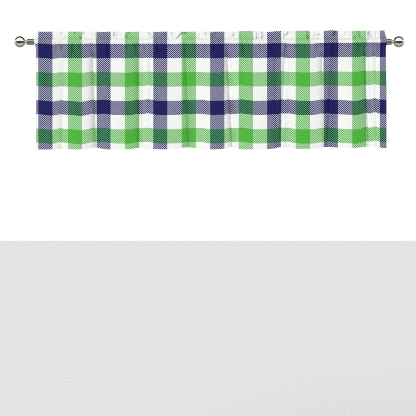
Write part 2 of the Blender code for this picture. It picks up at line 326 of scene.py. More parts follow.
# Where the print's level bands stand higher than the folds alone would draw them
PRINT_LIFT_COLUMNS = ("x", "width", "at_seam", "at_hem")
PRINT_LIFTS = (
    (-664, 16, 1.4, 2.2),
    (-607, 18, -2.2, -3.4),
    (-502, 22, 0, -4.2),
    (-416, 26, 0.2, 4.6),
    (-318, 20, -0.6, -2),
    (-238, 27, 0.3, 5),
    (-50, 31, 0.4, 4.2),
    (120, 34, 1.2, 4.8),
    (318, 18, -1.8, 4),
    (378, 30, -3, -1.8),
    (406, 14, -1.2, -2),
    (440, 20, -1.2, 0.8),
    (548, 22, -0.4, -1.6),
    (568, 16, 0, -3.4),
    (644, 20, 0, 4.4),
)
PRINT_LIFT_GROWS_OVER = 0.60
PRINT_DRAW_AT_SEAM = 0.19
PRINT_DRAW_AT_HEM = 0.29

# Camera and stage
VIEW_CENTRE_X = -0.0051
VIEW_CENTRE_Z = -0.6470
VIEW_WIDTH = 1.6199
SENSOR_WIDTH = 36.0
LAMP_ANGLE = 24
KEY_LAMP_PLACE = (-2.6, -8.6, 4.0)
FLOOR_LAMP_PLACE = (1.0, 3.5, 9.3)
FLAG_AT = 0.6550
FLAG_CORNERS = ((-0.06, -0.024), (0.08, -0.024), (0.08, 0.009), (-0.06, 0.009))

# Finishes
INKED_SOFTNESS = 0.2
INK_GAMMA = 2.2
REVERSE_INK = 0.72
HEM_WEAR_REACH = 0.0022
GROOVE_TARNISH_REACH = 0.0022
NECK_TARNISH_REACH = 0.0035
ROD_TARNISH_REACH = 0.0100
THREAD_COLOUR = (0.20, 0.21, 0.26)


def mix(low, high, share):
    return low + (high - low) * share


def smooth_share(value, start, end):
    """0 before start, 1 after end, with soft ends between them."""
    share = np.clip((value - start) / (end - start), 0.0, 1.0)
    return share * share * (3 - 2 * share)


def bell(distance, width):
    return np.exp(-((distance / width) ** 2))


def waves(x, table):
    """The sum of the sine waves in a table of wavelength, phase and height."""
    return sum(high * np.sin(2 * math.pi * x / length + phase) for length, phase, high in table)


def named_rows(columns, table, unit=MILLIMETRE):
    return [{column: value * unit for column, value in zip(columns, row)} for row in table]


FOLD_ROWS = named_rows(FOLD_COLUMNS, FOLDS, 1)
SWELL_ROWS = named_rows(SWELL_COLUMNS, SWELLS)
HEADING_CREASE_ROWS = named_rows(CREASE_COLUMNS, HEADING_CREASES)
POCKET_CREASE_ROWS = named_rows(CREASE_COLUMNS, POCKET_CREASES)
TOP_EDGE_ROWS = named_rows(TOP_EDGE_COLUMNS, TOP_EDGE)
PRINT_LIFT_ROWS = named_rows(PRINT_LIFT_COLUMNS, PRINT_LIFTS)
PRINT_STOP_ROWS = MILLIMETRE * np.array(PRINT_STOPS)


# The cloth's hanging form, by column x and level. These follow the frame's solid.


def fall_share(level):
    """How far down the panel a level is: 0 at the pocket's seam and 1 at the hem."""
    return float(np.clip((LOWER_SEAM - level) / (LOWER_SEAM - HEM_LEVEL), 0.0, 1.0))


def trough(x, share, fold):
    """A fold's depth at a column: a soft crease, with one side longer than the other by its skew."""
    distance = x - fold["x_top"]
    width = mix(fold["width_top"], fold["width_hem"], share)
    depth = mix(fold["depth_top"], fold["depth_hem"], share)
    longer = np.where(distance < 0, fold["skew"], -fold["skew"])
    away = np.sqrt(distance**2 + FOLD_BOTTOM**2) - FOLD_BOTTOM
    core = mix(FOLD_CORE_SHARE, FOLD_CORE_AT_HEM, share) * bell(distance, FOLD_CORE_WIDTH)
    return depth * (core + np.exp(-away / (FOLD_REACH * width * (1 + longer))))


def fold_offset(x, share):
    """How far the hanging cloth is pushed along Y at a column, by its folds and swells."""
    growth = mix(FOLD_AT_SEAM, 1.0, smooth_share(share, 0.0, FOLD_GROWS_OVER))
    offset = growth * sum(trough(x, share, fold) for fold in FOLD_ROWS)
    swells = sum(swell["height"] * bell(x - swell["x"], swell["width"]) for swell in SWELL_ROWS)
    return offset - mix(SWELL_AT_SEAM, 1.0, share) * swells


def fold_drift(x, share):
    """How far a column has leaned sideways, so that it follows the folds beside it."""
    stops = [CLOTH_LEFT, *(fold["x_top"] for fold in FOLD_ROWS), CLOTH_RIGHT]
    leans = [0.0, *(fold["x_hem"] - fold["x_top"] for fold in FOLD_ROWS), 0.0]
    return share * np.interp(x, stops, leans)


def hem_lift(x, share):
    """How far the cloth is drawn up at a fold. It grows towards the hem."""
    at = x - FOLD_SHIFT / 2
    lift = 0.0
    for fold in FOLD_ROWS:
        lift = lift + fold["hem_lift"] * bell(at - fold["x_top"], LIFT_WIDTH_SHARE * fold["width_hem"])
    return LIFT_STRENGTH * share * share * lift


def right_rise(x):
    return RIGHT_RISE * smooth_share(x, RISE_FROM, RISE_TO)


def print_rise(x, share):
    """How far the print's level bands are drawn up at a column. They dip where the cloth swells."""
    drawn = mix(PRINT_DRAW_AT_SEAM, PRINT_DRAW_AT_HEM, share * share) * fold_offset(x, share)
    growth = float(smooth_share(share, 0.0, PRINT_LIFT_GROWS_OVER))
    for row in PRINT_LIFT_ROWS:
        drawn = drawn + mix(row["at_seam"], row["at_hem"], growth) * bell(x - row["x"], row["width"])
    return drawn + right_rise(x) * mix(1.1, 0.4, share)


def end_reach(x, level):
    """How far the cloth's two side edges stand out past their straight line."""
    near_left = 1 - smooth_share(x, CLOTH_LEFT, CLOTH_LEFT + END_REACH)
    near_right = smooth_share(x, CLOTH_RIGHT - END_REACH, CLOTH_RIGHT)
    at_pocket = bell(level, POCKET_REACH_HEIGHT)
    at_heading = smooth_share(level, UPPER_SEAM, HEADING_TOP)
    slant = RIGHT_SLANT * (1 - smooth_share(-level, 0.0, -RIGHT_SLANT_ENDS))
    right = RIGHT_POCKET_REACH * at_pocket + RIGHT_HEADING_REACH * at_heading + slant
    return near_right * right - near_left * LEFT_POCKET_REACH * at_pocket


def collar_flare(x):
    """How much wider the pocket is at a column, to pass over the right collar."""
    return COLLAR_FLARE * smooth_share(x, FLARE_FROM, FLARE_TO)


def crease_depth(x, level, creases):
    """How far small creases push the cloth back at a level. Each has a soft lip on both sides."""
    depth = np.zeros_like(x)
    for crease in creases:
        along = (crease["top"] - level) / crease["length"]
        if not 0 < along < 1:
            continue
        fade = math.sin(math.pi * along)
        line = crease["x"] + crease["lean"] * along + crease["bend"] * fade
        distance = (x - line) / crease["width"]
        depth += crease["depth"] * math.sqrt(fade) * (1 - CREASE_LIP * distance**2) * np.exp(-(distance**2))
    return depth


def seam_ripples(x, level, seam):
    return waves(x, SEAM_RIPPLES) * bell(level - seam, SEAM_RIPPLE_REACH)


class ClothRow:
    """One row of the sheet's right side: its points, its level in the print, and how thick it may be."""

    def __init__(self, across, depth, height, print_level, heavy=0.0):
        self.points = np.stack([across, depth, height], axis=-1)
        self.print_level = print_level
        self.heavy = heavy


def panel_row(x, level, side, half, strength, heavy=0.0):
    """A row of the hanging panel. Side is -1 on the room's side and 1 at the back."""
    share = fall_share(level)
    at = x - FOLD_SHIFT
    slope = (fold_offset(at + SLOPE_STEP, share) - fold_offset(at - SLOPE_STEP, share)) / (2 * SLOPE_STEP)
    creases = strength * crease_depth(x, level, POCKET_CREASE_ROWS)
    ripples = seam_ripples(x, level, LOWER_SEAM) + seam_ripples(x, level, HEM_LEVEL + HEM_SEAM)
    lift = hem_lift(x, share)
    height = level + lift + right_rise(x) * smooth_share(share, 0.0, RISE_GROWS_OVER)
    forward = SEAM_FORWARD * (1 - float(smooth_share(share, 0.0, FORWARD_OVER)))
    depth = fold_offset(at, share) - forward + creases + ripples + side * half * np.hypot(1.0, slope)
    across = x + fold_drift(x, share) + end_reach(x, level)
    return ClothRow(across, depth, height, height - print_rise(x, share), heavy)


def pocket_print_rise(x, level):
    """How far the print is drawn up on the pocket: as on the heading above, and as on the panel below."""
    return mix(right_rise(x), print_rise(x, 0.0), float(smooth_share(-level, -0.006, 0.009)))


def pocket_row(x, angle, side, strength):
    """A row of the pocket's outside, at an angle from the top of the rod."""
    turn = math.radians(angle)
    shift = BACK_PUCKER_SHIFT if side > 0 else 0.0
    gather = waves(x + shift, PUCKERS) + sum(height for _, _, height in PUCKERS)
    slack = POCKET_SLACK * (angle / 180) ** SLACK_GROWTH
    radius = POCKET_NEAREST + slack + gather * math.sin(turn) ** GATHER_FOCUS
    radius = radius + collar_flare(x) + SOLID_THICKNESS
    level = float(np.mean(radius)) * math.cos(turn)
    creases = crease_depth(x, level, POCKET_CREASE_ROWS + HEADING_CREASE_ROWS)
    ease = POCKET_EASE * math.sin(turn) ** 2
    radius = radius + ease - np.clip(strength * creases, -CREASE_OUT, CREASE_IN + ease)
    height = radius * math.cos(turn)
    across = x + end_reach(x, level)
    return ClothRow(across, side * radius * math.sin(turn), height, height - pocket_print_rise(x, level))


def fall_row(x, share, strength):
    """A row of the pocket's front below the rod's middle, where it falls straight to the lower seam."""
    level = LOWER_SEAM * share
    front = pocket_row(x, 90, -1, 0.0).points[:, 1]
    seam = panel_row(x, LOWER_SEAM, -1, SEAM_HALF, 0.0).points[:, 1]
    creases = crease_depth(x, level, POCKET_CREASE_ROWS + HEADING_CREASE_ROWS)
    creases = np.clip(strength * creases, -CREASE_OUT, CREASE_IN + CREASE_IN_BELOW_ROD * share)
    depth = mix(front, seam, share**FALL_CURVE) + creases
    height = np.full_like(x, level)
    return ClothRow(x + end_reach(x, level), depth, height, height - pocket_print_rise(x, level))


def heading_row(x, level, side, half, strength, top_turn=None):
    """A row of the standing heading. Over the top fold, top_turn is the turn from front to back."""
    rise = smooth_share(level, UPPER_SEAM, HEADING_TOP)
    creases = strength * crease_depth(x, level, HEADING_CREASE_ROWS)
    sway = waves(x, HEADING_SWAY) * rise + creases + seam_ripples(x, level, UPPER_SEAM)
    bumps = sum(row["lift"] * bell(x - row["x"], row["width"]) for row in TOP_EDGE_ROWS)
    height = level + mix(collar_flare(x), right_rise(x), rise) + bumps * rise
    depth = sway + side * half
    if top_turn is not None:
        depth = sway - half * math.cos(top_turn)
        height = height + half * math.sin(top_turn)
    across = x + end_reach(x, level)
    return ClothRow(across, depth, height, height - right_rise(x))


def seam_pinch(distance, half):
    """A double layer's half thickness near its line of stitches."""
    return mix(SEAM_HALF, half, 1 - math.exp(-((distance / PINCH_REACH) ** 2)))


def panel_levels():
    """Levels up the panel: close together at the hem and under the pocket."""
    levels = [HEM_LEVEL + rise for rise in HEM_FRONT_RISES]
    level = levels[-1]
    while level < -0.0300:
        level += mix(0.0030, 0.0170, float(smooth_share(-0.0300 - level, 0.0, 0.0900)))
        levels.append(min(level, -0.0290))
    return [*levels, TURNING_END, -0.0232, -0.0205]


def cloth_rows(x, strength):
    """All rows of the sheet, from the hem's raw edge, up the front, over the top and down the back."""
    rows = {}
    fold_centre = HEM_LEVEL + HEM_HALF
    for rise in HEM_BACK_RISES:
        row = panel_row(x, HEM_LEVEL + rise, 1, seam_pinch(rise - HEM_SEAM, HEM_HALF), strength)
        row.print_level = 2 * HEM_LEVEL - row.print_level
        rows["hem back", rise] = row
    for step in range(EDGE_FOLD_STEPS + 1):
        turn = math.pi * step / EDGE_FOLD_STEPS
        row = panel_row(x, fold_centre, math.cos(turn), HEM_HALF, strength)
        row.points[:, 2] -= HEM_HALF * math.sin(turn)
        row.print_level = row.print_level - HEM_HALF * math.sin(turn)
        rows["hem fold", step] = row
    for level in panel_levels():
        above_hem = level - HEM_LEVEL
        thinner = float(smooth_share(above_hem, 0.006, 0.014))
        half = seam_pinch(above_hem - HEM_SEAM, mix(HEM_HALF, PANEL_HALF, thinner))
        heavy = float(smooth_share(above_hem, 0.014, 0.022) * (1 - smooth_share(level, -0.040, -0.032)))
        rows["panel", level] = panel_row(x, level, -1, half, strength, heavy)
    rows["lower seam", -1] = panel_row(x, LOWER_SEAM, -1, SEAM_HALF, strength)
    for share in POCKET_FALL_SHARES:
        rows["pocket fall", share] = fall_row(x, share, strength)
    for angle in POCKET_FRONT_ANGLES:
        rows["pocket front", angle] = pocket_row(x, angle, -1, strength)
    rows["under seam", -1] = heading_row(x, UNDER_SEAM_LEVEL, -1, UNDER_SEAM_HALF, strength)
    rows["upper seam", -1] = heading_row(x, UPPER_SEAM, -1, SEAM_HALF, strength)
    top_centre = HEADING_TOP - HEADING_HALF
    heading = [mix(UPPER_SEAM, top_centre, step / HEADING_STEPS) for step in range(1, HEADING_STEPS)]
    for level in heading:
        half = seam_pinch(level - UPPER_SEAM, HEADING_HALF)
        rows["heading front", level] = heading_row(x, level, -1, half, strength)
    for step in range(EDGE_FOLD_STEPS + 1):
        turn = math.pi * step / EDGE_FOLD_STEPS
        rows["top fold", step] = heading_row(x, top_centre, 0, HEADING_HALF, strength, turn)
    back = {}
    for level in reversed(heading):
        half = seam_pinch(level - UPPER_SEAM, HEADING_HALF)
        back["heading back", level] = heading_row(x, level, 1, half, strength)
    back["upper seam", 1] = heading_row(x, UPPER_SEAM, 1, SEAM_HALF, strength)
    back["under seam", 1] = heading_row(x, UNDER_SEAM_LEVEL, 1, UNDER_SEAM_HALF, strength)
    for angle in POCKET_BACK_ANGLES:
        back["pocket back", angle] = pocket_row(x, angle, 1, strength)
    back["lower seam", 1] = panel_row(x, LOWER_SEAM, 1, SEAM_HALF, strength)
    for level in (-0.0205, -0.0235, TURNING_END):
        back["turning", level] = panel_row(x, level, 1, seam_pinch(level - LOWER_SEAM, TURNING_HALF), strength)
    for row in back.values():
        row.print_level = 2 * HEADING_TOP - row.print_level
    rows.update(back)
    return rows


def unit(vectors):
    return vectors / np.maximum(np.linalg.norm(vectors, axis=-1, keepdims=True), 1e-12)


def grid_direction(points, axis):
    """The direction along one axis of a grid of points, whatever their spacing."""
    steps = unit(np.diff(points, axis=axis))
    first = np.take(steps, [0], axis=axis)
    last = np.take(steps, [-1], axis=axis)
    return unit(np.concatenate([first, steps], axis=axis) + np.concatenate([steps, last], axis=axis))


def grid_normals(points):
    return unit(np.cross(grid_direction(points, 1), grid_direction(points, 0)))


def sheet_faces(rows, columns):
    """Quads of a closed sheet: its right side, its reverse, and the rim that joins them."""
    index = np.arange(rows * columns).reshape(rows, columns)
    corners = (index[:-1, :-1], index[:-1, 1:], index[1:, 1:], index[1:, :-1])
    right_side = np.stack(corners, axis=-1).reshape(-1, 4)
    reverse = right_side[:, [0, 3, 2, 1]] + index.size
    rim = np.concatenate([index[0, :], index[1:, -1], index[-1, -2::-1], index[-2:0:-1, 0]])
    after = np.roll(rim, -1)
    edge = np.stack([after, rim, rim + index.size, after + index.size], axis=-1)
    return right_side, reverse, edge


def link_object(name, mesh, *materials):
    for material in materials:
        mesh.materials.append(material)
    made = bpy.data.objects.new(name, mesh)
    bpy.context.scene.collection.objects.link(made)
    return made


def print_map(mesh, across, up):
    """A UV map in metres, so that the print keeps its real size."""
    layer = mesh.uv_layers.new(name="Print")
    corner = np.zeros(len(mesh.loops), np.int64)
    mesh.loops.foreach_get("vertex_index", corner)
    layer.data.foreach_set("uv", np.stack([across[corner], up[corner]], axis=-1).ravel())


def sheet_grid(settings):
    """The rows of the cloth, its columns, and the points and normals of its right side."""
    count = round((CLOTH_RIGHT - CLOTH_LEFT) / settings.column_spacing) + 1
    x = np.linspace(CLOTH_LEFT, CLOTH_RIGHT, count)
    rows = cloth_rows(x, settings.crease_strength)
    outer = np.stack([row.points for row in rows.values()])
    return rows, x, outer, grid_normals(outer)


def make_sheet(settings):
    """The valance's cloth as one thin closed sheet."""
    rows, x, outer, normals = sheet_grid(settings)
    at_side = 1 - smooth_share(np.minimum(x - CLOTH_LEFT, CLOTH_RIGHT - x), SIDE_HEM, SIDE_HEM + SIDE_HEM_STEP)
    heavy = np.array([row.heavy for row in rows.values()])[:, None] * at_side[None, :]
    thickness = mix(settings.sheet_thickness, SIDE_HEM_THICKNESS, heavy)
    inner = outer - normals * thickness[..., None]
    right_side, reverse, edge = sheet_faces(*outer.shape[:2])
    points = np.concatenate([outer.reshape(-1, 3), inner.reshape(-1, 3)])
    mesh = bpy.data.meshes.new("valance_sheet")
    mesh.from_pydata(points.tolist(), [], np.concatenate([right_side, edge, reverse]).tolist())
    side = np.zeros(len(mesh.polygons), np.int32)
    side[len(right_side) + len(edge):] = 1
    mesh.polygons.foreach_set("material_index", side)
    level = np.concatenate([row.print_level for row in rows.values()])
    across = outer[..., 0].ravel()
    across = across - np.interp(across, *PRINT_STOP_ROWS.T)
    print_map(mesh, np.tile(across, 2), np.tile(level, 2))
    mesh.shade_smooth()
    mesh.set_sharp_from_angle(angle=math.radians(CLOTH_SHARP_ANGLE))
    mesh.update()
    return mesh


# Nodes. A Value is what a node puts out, and arithmetic on it adds maths nodes.

VECTOR = "NodeSocketVector"
NUMBER = "NodeSocketFloat"
COLOUR = "NodeSocketColor"


class Value:
    def __init__(self, socket):
        self.socket = socket
        self.tree = socket.id_data

    def __add__(self, other):
        return maths("ADD", self, other)

    def __sub__(self, other):
        return maths("SUBTRACT", self, other)

    def __rsub__(self, other):
        return maths("SUBTRACT", other, self)

    def __mul__(self, other):
        return maths("MULTIPLY", self, other)

    def __truediv__(self, other):
        return maths("DIVIDE", self, other)

    def __rtruediv__(self, other):
        return maths("DIVIDE", other, self)

    def __abs__(self):
        return maths("ABSOLUTE", self)


def rgba(colour):
    return (*colour, 1.0)


def tree_of(values):
    return next(value.tree for value in values if isinstance(value, Value))


def feed(sockets, values):
    """Links sockets, by name or place, to their values, or sets their own."""
    for key, value in values.items():
        socket = sockets[key]
        if isinstance(value, Value):
            value.tree.links.new(value.socket, socket)
        else:
            socket.default_value = value


def add_node(tree, kind, inputs=None, **settings):
    made = tree.nodes.new(kind)
    for key, value in settings.items():
        setattr(made, key, value)
    feed(made.inputs, inputs or {})
    return made


def output(tree, kind, inputs=None, key=0, **settings):
    """What a new node puts out."""
    return Value(add_node(tree, kind, inputs, **settings).outputs[key])


def named_values(sockets):
    return {socket.name: Value(socket) for socket in sockets if socket.name}


def spaced_names(values):
    """Input names with spaces, from keywords with underscores."""
    return {key.replace("_", " "): value for key, value in values.items()}


def maths(operation, *values):
    return output(tree_of(values), "ShaderNodeMath", dict(enumerate(values)), operation=operation)


def blend(share, low, high):
    return output(share.tree, "ShaderNodeMix", {"Factor": share, 6: low, 7: high}, 2, data_type="RGBA")


def ranged(value, low, high, to_low=0.0, to_high=1.0):
    given = {"Value": value, "From Min": low, "From Max": high, "To Min": to_low, "To Max": to_high}
    return output(value.tree, "ShaderNodeMapRange", given)


def gamma(colour, power):
    return output(colour.tree, "ShaderNodeGamma", {"Color": colour, "Gamma": power})


def noise(vector, scale, detail=2.0):
    given = {"Vector": vector, "Scale": scale, "Detail": detail}
    return output(vector.tree, "ShaderNodeTexNoise", given, "Fac")


def scaled(vector, scale):
    return output(vector.tree, "ShaderNodeVectorMath", {0: vector, 1: scale}, operation="MULTIPLY")


def times(colour, factor):
    return output(factor.tree, "ShaderNodeVectorMath", {0: colour, "Scale": factor}, operation="SCALE")


def bump(height, strength, distance):
    given = {"Strength": strength, "Distance": distance, "Height": height}
    return output(height.tree, "ShaderNodeBump", given, "Normal")


def split(vector):
    """A vector's three numbers."""
    return [Value(socket) for socket in add_node(vector.tree, "ShaderNodeSeparateXYZ", {0: vector}).outputs]


def add_sockets(tree, **sockets):
    for way, kinds in sockets.items():
        for label, kind in kinds.items():
            tree.interface.new_socket(name=label, in_out=way, socket_type=kind)


def shared_group(name, inputs, outputs):
    """Turns a function into one that gives its node group, made the first time it is asked for."""

    def wrap(build):
        def group():
            if name not in bpy.data.node_groups:
                tree = bpy.data.node_groups.new(name, "ShaderNodeTree")
                add_sockets(tree, INPUT=inputs, OUTPUT=outputs)
                given = named_values(add_node(tree, "NodeGroupInput").outputs)
                add_node(tree, "NodeGroupOutput", build(given))
            return bpy.data.node_groups[name]

        return group

    return wrap


def place_group(group, **values):
    """Places a node group and gives its outputs by name."""
    made = add_node(tree_of(values.values()), "ShaderNodeGroup", spaced_names(values), node_tree=group())
    return named_values(made.outputs)


STRIPE_MASKS = {"Dark": NUMBER, "Bright": NUMBER, "White": NUMBER}


@shared_group("check_stripes", {"Along": NUMBER, "Band": NUMBER}, STRIPE_MASKS)
def stripe_group(given):
    """Masks of one set of stripes, which repeat as dark, white, bright and white."""
    share = maths("FRACT", given["Along"] / (given["Band"] * 4.0) + 16.0)
    dark = maths("LESS_THAN", share, 0.25)
    bright = maths("LESS_THAN", abs(share - 0.625), 0.125)
    return {"Dark": dark, "Bright": bright, "White": 1.0 - dark - bright}


CHECK_SIZES = ("Band_Width", "Band_Height", "Line_Pitch", "Line_Shift", "Line_Softness", "Ink_Cover", "Dark_Cover")
CHECK_INKS = ("Dark", "Bright", "Ground")
CHECK_INPUTS = {
    "Vector": VECTOR, "Start": NUMBER, "Top": NUMBER, **spaced_names(dict.fromkeys(CHECK_SIZES, NUMBER)),
    **dict.fromkeys(CHECK_INKS, COLOUR),
}


@shared_group("hatched_check", CHECK_INPUTS, {"Colour": COLOUR, "Ink": NUMBER})
def check_group(given):
    """The printed check: two sets of stripes, crossed by fine slanting lines that mix their inks."""
    x, y, _ = split(given["Vector"])
    upright = place_group(stripe_group, Along=x - given["Start"], Band=given["Band Width"])
    level = place_group(stripe_group, Along=given["Top"] - y, Band=given["Band Height"])
    lines = maths("FRACT", (x - y) / given["Line Pitch"] + given["Line Shift"] + 512.0)
    ink_more = (level["White"] - upright["White"]) * given["Ink Cover"]
    dark_more = (upright["Dark"] * level["Bright"] - upright["Bright"] * level["Dark"]) * given["Dark Cover"]
    off_line = abs(lines - 0.5) * 2.0
    inked = (1.0 - level["White"]) * (1.0 - upright["White"])
    softness = given["Line Softness"] * ranged(inked, 0.0, 1.0, 1.0, INKED_SOFTNESS)
    upright_shows = ranged((ink_more + dark_more + 0.5 - off_line) / softness, -0.5, 0.5)
    colours = []
    for stripes in (level, upright):
        dark = blend(stripes["Dark"], given["Ground"], given["Dark"])
        colours.append(gamma(blend(stripes["Bright"], dark, given["Bright"]), 1 / INK_GAMMA))
    shares = {"Factor": upright_shows, 2: level["White"], 3: upright["White"]}
    white = output(upright_shows.tree, "ShaderNodeMix", shares, data_type="FLOAT")
    return {"Colour": gamma(blend(upright_shows, *colours), INK_GAMMA), "Ink": 1.0 - white}


@shared_group("plain_weave", {"Vector": VECTOR, "Pitch": NUMBER}, {"Height": NUMBER, "Thread": NUMBER})
def weave_group(given):
    """Threads over and under each other, as a height."""
    x, y, _ = split(given["Vector"])
    turns = math.pi / given["Pitch"]
    crossing = maths("SINE", x * turns) * maths("SINE", y * turns)
    slub = noise(scaled(given["Vector"], (70.0, 900.0, 1.0)), 1.0, 1.0)
    return {"Height": crossing * 0.5 + slub, "Thread": ranged(crossing, -1.0, 1.0)}


TONE_INPUTS = {"Vector": VECTOR, "Slow": NUMBER, "Fine": NUMBER, "Amount": NUMBER}


@shared_group("uneven_tone", TONE_INPUTS, {"Factor": NUMBER, "Mask": NUMBER})
def tone_group(given):
    """Slow and fine changes of tone, as a factor to multiply a colour by."""
    slow, fine = (noise(given["Vector"], given[label], 3.0) for label in ("Slow", "Fine"))
    both = (slow + fine) * 0.5
    return {"Factor": (both - 0.5) * given["Amount"] + 1.0, "Mask": both}


WEAR_INPUTS = {"Vector": VECTOR, "Distance": NUMBER, "Reach": NUMBER, "Breaks": NUMBER}


@shared_group("line_wear", WEAR_INPUTS, {"Mask": NUMBER})
def wear_group(given):
    """A mask that grows towards a line, broken up by noise, for rubbed edges and tarnish."""
    near = ranged(given["Distance"], 0.0, given["Reach"], 1.0, 0.0)
    return {"Mask": near * ranged(noise(given["Vector"], given["Breaks"]), 0.35, 0.65)}


def new_material(name, uv_map=None):
    """A material, its shader, and the piece's UV map or else its own coordinates."""
    material = bpy.data.materials.new(name)
    material.use_nodes = True
    tree = material.node_tree
    if uv_map:
        place = output(tree, "ShaderNodeUVMap", uv_map=uv_map)
    else:
        place = output(tree, "ShaderNodeTexCoord", key="Object")
    return material, tree.nodes["Principled BSDF"], place


def shade(shader, **values):
    feed(shader.inputs, spaced_names(values))


def cloth_material(name, colours, sizes, ink_share):
    """Printed cloth. On the reverse only a share of the ink comes through."""
    material, shader, place = new_material(name, "Print")
    given = {label: getattr(sizes, label.lower()) for label in CHECK_SIZES}
    inks = {label: rgba(getattr(colours, label.lower())) for label in CHECK_INKS}
    check = place_group(check_group, Vector=place, Start=CHECK_START, Top=CHECK_TOP, **given, **inks)
    weave = place_group(weave_group, Vector=place, Pitch=sizes.thread_pitch)
    tone = place_group(tone_group, Vector=place, Slow=14.0, Fine=320.0, Amount=0.07)
    above_hem = abs(split(place)[1] - HEM_LEVEL)
    worn = place_group(wear_group, Vector=place, Distance=above_hem, Reach=HEM_WEAR_REACH, Breaks=260.0)
    inked = blend(ink_share - worn["Mask"] * 0.25, inks["Ground"], check["Colour"])
    threads = ranged(weave["Thread"], 0.0, 1.0, 0.97, 1.03)
    shade(
        shader,
        Base_Color=times(inked, tone["Factor"] * threads),
        Roughness=check["Ink"] * -0.08 + 0.90,
        Normal=bump(weave["Height"], 0.25, 0.00012),
        Specular_IOR_Level=0.06,
    )
    return material


def thread_material():
    """Grey sewing thread, with its ply as fine slanting ridges."""
    material, shader, place = new_material("sewing_thread")
    tone = place_group(tone_group, Vector=place, Slow=40.0, Fine=900.0, Amount=0.12)
    bands = {"wave_type": "BANDS", "bands_direction": "DIAGONAL"}
    ply = output(place.tree, "ShaderNodeTexWave", {"Vector": place, "Scale": 900.0}, "Fac", **bands)
    shade(
        shader,
        Base_Color=times(THREAD_COLOUR, tone["Factor"]),
        Roughness=ranged(tone["Mask"], 0.3, 0.7, 0.55, 0.70),
        Normal=bump(ply, 0.4, 0.00008),
        Specular_IOR_Level=0.30,
    )
    return material


def nickel_material(name, colour, tarnish_at):
    """Polished nickel: turned marks round the axis, faint smudges, and tarnish in the grooves."""
    material, shader, place = new_material(name)
    tone = place_group(tone_group, Vector=place, Slow=45.0, Fine=420.0, Amount=0.16)
    along = abs(split(place)[0])
    tarnish = None
    for at, reach in tarnish_at:
        near = {"Distance": abs(along - at), "Reach": reach}
        mask = place_group(wear_group, Vector=place, Breaks=300.0, **near)["Mask"]
        tarnish = mask if tarnish is None else maths("MAXIMUM", tarnish, mask)
    dull = rgba(0.45 * part for part in colour)
    on_collar = maths("LESS_THAN", along, COLLAR_END)
    plated = blend(on_collar * 0.90, blend(tarnish * 0.8, rgba(colour), dull), dull)
    smudges = ranged(tone["Mask"], 0.35, 0.65, 0.07, 0.15)
    turned_marks = noise(scaled(place, (2600.0, 60.0, 60.0)), 1.0, 1.0)
    shade(
        shader,
        Base_Color=times(plated, tone["Factor"]),
        Roughness=smudges + tarnish * 0.25 + on_collar * 0.10,
        Normal=bump(turned_marks, 0.05, 0.00003),
        Metallic=1.0,
    )
    return material


def floor_material(colour):
    material, shader, place = new_material("pale_floor")
    tone = place_group(tone_group, Vector=place, Slow=0.7, Fine=9.0, Amount=0.03)
    shade(
        shader,
        Base_Color=times(tuple(colour), tone["Factor"]),
        Roughness=ranged(tone["Mask"], 0.3, 0.7, 0.75, 0.9),
        Specular_IOR_Level=0.2,
    )
    return material


# Stitches, as a Geometry Nodes tree


def stitch_tree():
    """Stitches along lines of a mesh. Each line's points hold the way out of the cloth as `out`."""
    tree = bpy.data.node_groups.new("stitch_lines", "GeometryNodeTree")
    geometry = {"Geometry": "NodeSocketGeometry"}
    sizes = dict.fromkeys(("Pitch", "Stitch Length", "Thread Diameter", "Rise"), NUMBER)
    others = {"Seed": "NodeSocketInt", "Material": "NodeSocketMaterial"}
    add_sockets(tree, INPUT={**geometry, **sizes, **others}, OUTPUT=geometry)
    given = named_values(add_node(tree, "NodeGroupInput").outputs)
    lines = output(tree, "GeometryNodeMeshToCurve", {0: given["Geometry"]})
    by_pitch = {"Curve": lines, "Length": given["Pitch"]}
    spaced = output(tree, "GeometryNodeResampleCurve", by_pitch, mode="LENGTH")

    half = given["Stitch Length"] * 0.5
    sunk = given["Thread Diameter"] * -0.6
    ends = {"Start": (half * -1.0, sunk), "Middle": (0.0, given["Rise"]), "End": (half, sunk)}
    points = {label: output(tree, "ShaderNodeCombineXYZ", {"X": x, "Z": z}) for label, (x, z) in ends.items()}
    arch = output(tree, "GeometryNodeCurveQuadraticBezier", {"Resolution": 3, **points})
    round_thread = {"Resolution": 4, "Radius": given["Thread Diameter"] * 0.5}
    ring = output(tree, "GeometryNodeCurvePrimitiveCircle", round_thread, mode="RADIUS")
    stitch = output(tree, "GeometryNodeCurveToMesh", {"Curve": arch, "Profile Curve": ring, "Fill Caps": True})

    out = output(tree, "GeometryNodeInputNamedAttribute", {"Name": "out"}, data_type="FLOAT_VECTOR")
    tangent = output(tree, "GeometryNodeInputTangent")
    turn = "FunctionNodeAlignRotationToVector"
    along = output(tree, turn, {"Vector": tangent}, axis="X")
    facing = output(tree, turn, {"Rotation": along, "Vector": out}, axis="Z", pivot_axis="X")
    limits = {2: 0.90, 3: 1.08, "Seed": given["Seed"]}
    size = output(tree, "FunctionNodeRandomValue", limits, 1, data_type="FLOAT")
    on_lines = {"Points": spaced, "Instance": stitch, "Rotation": facing, "Scale": size}
    placed = output(tree, "GeometryNodeInstanceOnPoints", on_lines)

    real = output(tree, "GeometryNodeRealizeInstances", {0: placed})
    smooth = output(tree, "GeometryNodeSetShadeSmooth", {0: real})
    coloured = output(tree, "GeometryNodeSetMaterial", {"Geometry": smooth, "Material": given["Material"]})
    add_node(tree, "NodeGroupOutput", {0: coloured})
    return tree


def socket_key(tree, label):
    """The identifier of a tree's named input."""
    found = [item for item in tree.interface.items_tree if item.in_out == "INPUT" and item.name == label]
    return found[0].identifier


